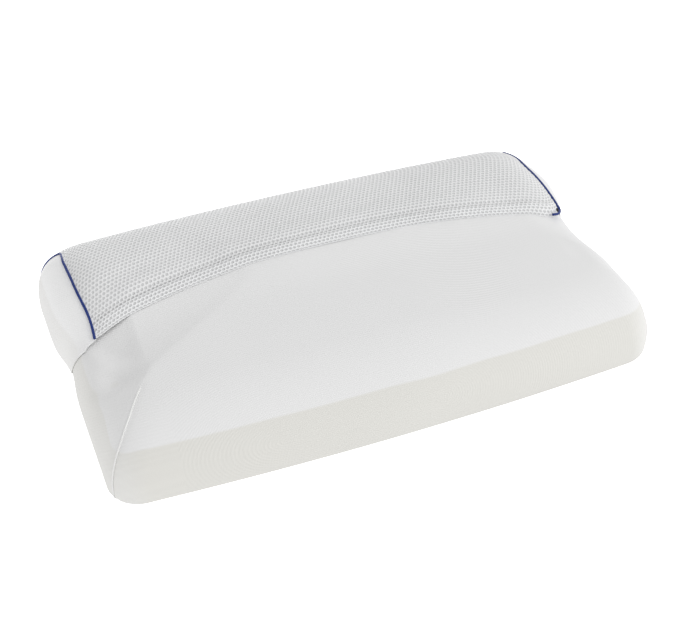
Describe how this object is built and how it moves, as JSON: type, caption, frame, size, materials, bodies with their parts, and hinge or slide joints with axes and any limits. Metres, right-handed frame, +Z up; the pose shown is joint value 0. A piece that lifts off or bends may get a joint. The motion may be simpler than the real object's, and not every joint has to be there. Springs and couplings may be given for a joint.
{
  "type": "foam pillow in a knit undercover with its outer cover drawn back",
  "caption": "Contoured layered foam pillow in a tight knit undercover, its zip-off outer cover of open mesh with piped ends drawn back over the rear half.",
  "frame": {"origin": "on the surface the pillow lies on, under the middle of the whole part", "axes": "+X along the long side, +Y towards the covered rear half, +Z up"},
  "size_m": [0.7163, 0.435, 0.1189],
  "materials": {
    "white_foam": "soft matt white foam, open cells",
    "cream_foam": "soft matt cream foam, open cells",
    "white_jersey": "fine white stretch knit, slightly sheer, matt",
    "spacer_mesh": "white open spacer mesh with round holes, slight sheen",
    "white_panel": "plain white knit, matt",
    "blue_piping": "deep blue woven piping, slight sheen"
  },
  "bodies": {
    "root": {"foam_lower_layer": "cream_foam", "foam_upper_layer": "white_foam", "jersey_casing": "white_jersey", "cover_mesh_panel": "spacer_mesh", "cover_end_panel_left": "white_panel", "cover_end_panel_right": "white_panel", "cover_base_panel": "white_panel", "piping_left": "blue_piping", "piping_right": "blue_piping"}
  },
  "joints": []
}
